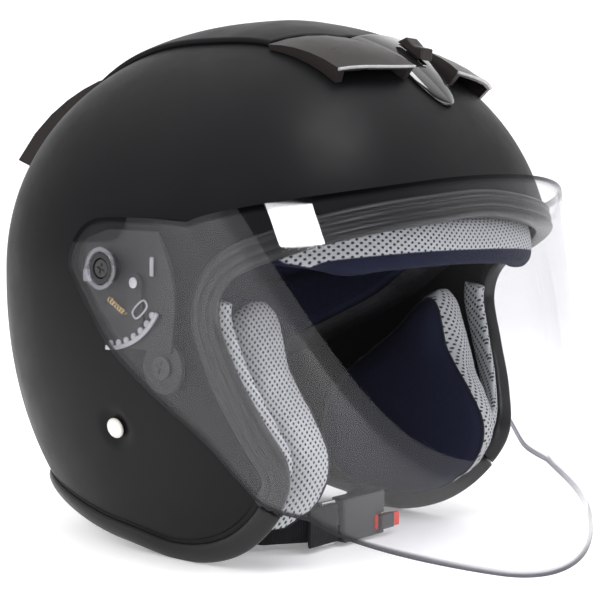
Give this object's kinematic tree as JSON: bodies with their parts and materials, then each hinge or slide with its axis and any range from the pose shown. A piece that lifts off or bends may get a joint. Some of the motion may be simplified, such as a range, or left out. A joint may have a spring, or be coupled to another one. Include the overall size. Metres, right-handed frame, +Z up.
{
  "type": "open face motorcycle helmet",
  "caption": "Black open face motorcycle helmet with a long clear wrap-around shield, crown vents, mesh-lined pads and a buckled chin strap.",
  "frame": {"origin": "on the floor, under the middle of the helmet's length and width with the shield shut", "axes": "+Z up; the face opening looks along -Y; the wearer's right side is at -X"},
  "size_m": [0.2712, 0.3135, 0.2723],
  "materials": {
    "shell_black": "matte black moulded shell",
    "trim_rubber": "satin black ribbed rubber",
    "trim_plastic": "satin black rounded edge strip",
    "vent_plastic": "satin brown-black with a pale mouth lip",
    "vent_gloss": "polished black",
    "impact_foam": "dark beaded foam",
    "lining_fabric": "dark navy brushed fabric",
    "pad_mesh": "light grey spacer mesh with small dark holes, navy on the face side",
    "clear_shield": "clear moulded polycarbonate, polished",
    "mechanism_plastic": "satin black moulded plastic",
    "screw_black": "blackened",
    "pin_steel": "satin",
    "rivet_steel": "silver-white",
    "spring_brass": "bright wire",
    "strap_webbing": "black woven webbing",
    "buckle_plastic": "grey moulded plastic",
    "tab_red": "red"
  },
  "bodies": {
    "helmet": {"outer_shell": "shell_black", "window_trim": "trim_rubber", "bottom_trim": "trim_plastic", "vent_scoop_right": "vent_plastic", "vent_scoop_left": "vent_plastic", "rear_vent_right": "vent_plastic", "rear_vent_left": "vent_plastic", "vent_housing": "vent_gloss", "eps_liner": "impact_foam", "crown_liner": "lining_fabric", "brow_pad": "pad_mesh", "neck_roll": "pad_mesh", "cheek_pad_right": "pad_mesh", "cheek_pad_left": "pad_mesh", "cheek_skirt_right": "pad_mesh", "cheek_skirt_left": "pad_mesh", "base_plate_right": "mechanism_plastic", "base_plate_left": "mechanism_plastic", "pivot_post_right": "mechanism_plastic", "pivot_post_left": "mechanism_plastic", "pivot_screw_right": "screw_black", "pivot_screw_left": "screw_black", "lower_screw_right": "screw_black", "lower_screw_left": "screw_black", "lever_pin_right": "pin_steel", "lever_pin_left": "pin_steel", "strap_anchor_right": "pin_steel", "strap_anchor_left": "pin_steel", "strap_rivet_right": "rivet_steel", "strap_rivet_left": "rivet_steel", "detent_spring_right": "spring_brass", "detent_spring_left": "spring_brass", "chin_strap_right": "strap_webbing", "chin_strap_left": "strap_webbing", "buckle_receiver": "buckle_plastic"},
    "face_shield": {"visor": "clear_shield", "pivot_ring_right": "clear_shield", "pivot_ring_left": "clear_shield", "visor_ratchet_right": "clear_shield", "visor_ratchet_left": "clear_shield"},
    "lever_right": {"detent_lever_right": "mechanism_plastic"},
    "lever_left": {"detent_lever_left": "mechanism_plastic"},
    "vent_knob": {"vent_slider": "vent_plastic"},
    "tongue": {"buckle_tongue": "pin_steel", "buckle_webbing": "strap_webbing"},
    "release_tab": {"buckle_release_tab": "tab_red"}
  },
  "joints": [
    {"name": "shield_swing", "type": "hinge", "parent": "helmet", "child": "face_shield", "pos_m": [0, 0.0173, 0.145], "axis": [-1, 0, 0], "range_deg": [0, 60]},
    {"name": "lever_swing_right", "type": "hinge", "parent": "helmet", "child": "lever_right", "pos_m": [-0.1276, -0.0001, 0.1388], "axis": [1, 0, 0], "range_deg": [0, 6], "stiffness_Nm_per_rad": 0.05, "springref_deg": -6.88, "deforming": ["detent_spring_right"]},
    {"name": "lever_swing_left", "type": "hinge", "parent": "helmet", "child": "lever_left", "pos_m": [0.1276, -0.0001, 0.1388], "axis": [1, 0, 0], "range_deg": [0, 6], "stiffness_Nm_per_rad": 0.05, "springref_deg": -6.88, "deforming": ["detent_spring_left"]},
    {"name": "vent_slide", "type": "slide", "parent": "helmet", "child": "vent_knob", "axis": [0, -0.8225, -0.5687], "range_m": [-0.005, 0.005]},
    {"name": "tongue_slide", "type": "slide", "parent": "helmet", "child": "tongue", "axis": [-1, 0, 0], "range_m": [0, 0.018]},
    {"name": "tab_lift", "type": "hinge", "parent": "helmet", "child": "release_tab", "pos_m": [0.016, -0.0375, 0.0085], "axis": [0, 0, -1], "range_deg": [0, 15], "stiffness_Nm_per_rad": 0.02, "springref_deg": -8.59}
  ]
}
